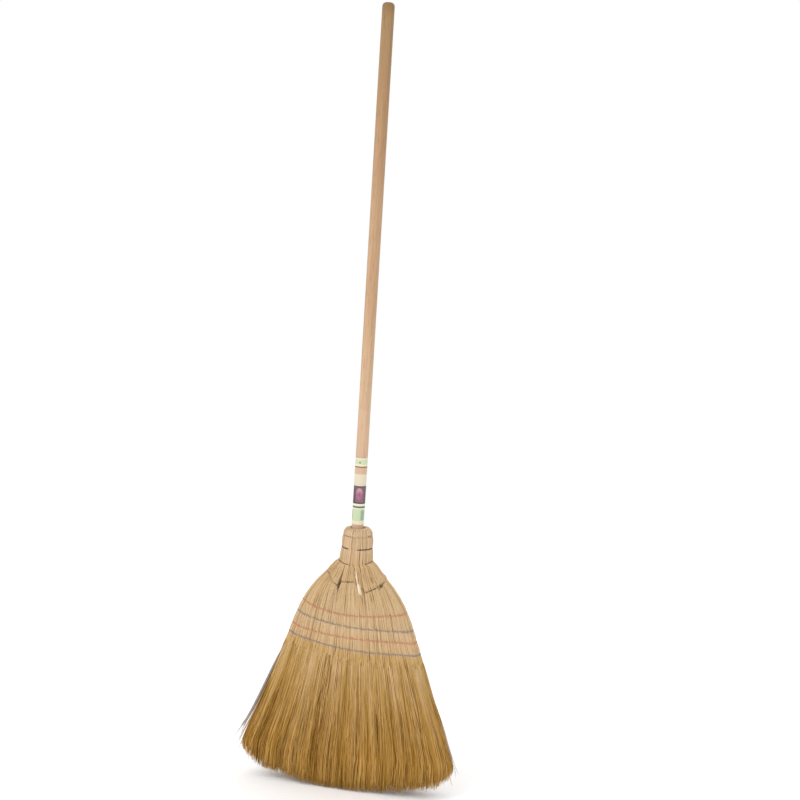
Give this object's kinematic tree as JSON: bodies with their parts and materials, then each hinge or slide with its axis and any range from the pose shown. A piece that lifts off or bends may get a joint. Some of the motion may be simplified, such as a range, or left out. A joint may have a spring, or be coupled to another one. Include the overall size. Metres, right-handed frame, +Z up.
{
  "type": "straw broom",
  "caption": "Sewn straw broom with a round wooden handle, a bound neck, stitched shoulders and flared free straw that bends.",
  "frame": {"origin": "bottom centre of the straw tips, on the floor", "axes": "+Z up the handle, +X across the width of the straw, +Y through its thickness, front is -Y"},
  "size_m": [0.397, 0.066, 1.42],
  "materials": {
    "handle_wood": "plain turned beech, unvarnished, fine straight grain",
    "label_paper": "printed paper band with plain coloured panels",
    "tack_steel": "small steel tack",
    "dark_twine": "dark brown waxed twine",
    "inner_straw": "dried broomcorn straw, packed",
    "head_straw": "dried broomcorn straw, pale tan, lying side by side",
    "free_straw": "dried broomcorn straw, golden brown, loose",
    "red_thread": "faded red sewing twine",
    "blue_thread": "grey-blue sewing twine"
  },
  "bodies": {
    "broom": {"handle_shaft": "handle_wood", "handle_label": "label_paper", "binding_tack_upper": "tack_steel", "binding_tack_lower": "tack_steel", "inner_binding": "dark_twine", "core_bundle": "inner_straw", "shoulder_bundle_left": "inner_straw", "shoulder_bundle_right": "inner_straw", "outer_sheaf_front_left": "head_straw", "outer_sheaf_front_center": "head_straw", "outer_sheaf_front_right": "head_straw", "outer_sheaf_back_left": "head_straw", "outer_sheaf_back_center": "head_straw", "outer_sheaf_back_right": "head_straw", "neck_tie_upper": "dark_twine", "neck_tie_middle": "dark_twine", "neck_tie_lower": "dark_twine", "shoulder_cord": "dark_twine", "stitch_row_1_red": "red_thread", "stitch_row_3_red": "red_thread", "stitch_row_2_blue": "blue_thread", "stitch_row_4_blue": "blue_thread"},
    "bristles": {"bristles_front_left": "free_straw", "bristles_front_center": "free_straw", "bristles_front_right": "free_straw", "bristles_back_left": "free_straw", "bristles_back_center": "free_straw", "bristles_back_right": "free_straw"}
  },
  "joints": [
    {"name": "bristle_flex", "type": "hinge", "parent": "broom", "child": "bristles", "pos_m": [0, 0, 0.248], "axis": [1, 0, 0], "range_deg": [-25, 25], "stiffness_Nm_per_rad": 12}
  ]
}
